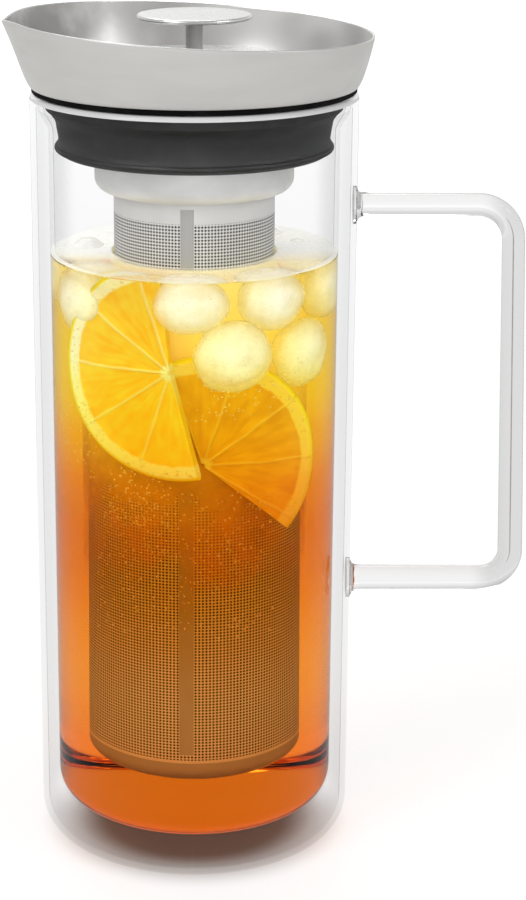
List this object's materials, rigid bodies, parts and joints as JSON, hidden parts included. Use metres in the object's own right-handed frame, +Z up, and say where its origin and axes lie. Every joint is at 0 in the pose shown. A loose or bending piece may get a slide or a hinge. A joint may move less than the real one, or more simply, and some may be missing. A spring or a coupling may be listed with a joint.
{
  "type": "iced tea pitcher",
  "caption": "Double-walled glass pitcher with a rod handle, a steel pouring lid with beak and seal, a lift-out perforated infuser and a knob plug.",
  "frame": {"origin": "centre of the base on the jug's axis, in the plane it stands on", "axes": "+Z up along the jug's axis, +X towards the handle, -X towards the beak"},
  "size_m": [0.1636, 0.1104, 0.2653],
  "materials": {
    "glass": "clear polished borosilicate",
    "steel_satin": "satin brushed",
    "steel_bright": "fine brushed",
    "steel_mesh": "perforated sheet",
    "silicone_black": "matt moulded",
    "silicone_clear": "matt translucent",
    "plastic_grey": "matt moulded"
  },
  "bodies": {
    "jug": {"outer_glass": "glass", "inner_glass": "glass", "inner_floor": "glass", "glass_handle": "glass", "vent_plug": "silicone_clear"},
    "lid": {"pouring_collar": "steel_satin", "bowl_floor": "steel_satin", "seal_carrier": "plastic_grey", "stopper_seal": "silicone_black", "holder_cup": "steel_bright"},
    "infuser": {"infuser_flange": "steel_bright", "infuser_tube": "steel_mesh", "infuser_seam": "steel_bright", "infuser_base": "steel_bright"},
    "plug": {"plug_cover": "steel_bright", "plug_sleeve": "plastic_grey", "plug_gasket": "silicone_black", "knob_stem": "steel_satin", "knob_disc": "steel_bright", "stem_washer": "steel_satin", "stem_nut": "steel_satin"}
  },
  "joints": [
    {"name": "lid_lift", "type": "slide", "parent": "jug", "child": "lid", "axis": [0, 0, 1], "range_m": [0, 0.23]},
    {"name": "infuser_lift", "type": "slide", "parent": "lid", "child": "infuser", "axis": [0, 0, 1], "range_m": [0, 0.245]},
    {"name": "plug_lift", "type": "slide", "parent": "infuser", "child": "plug", "axis": [0, 0, 1], "range_m": [0, 0.06]}
  ]
}
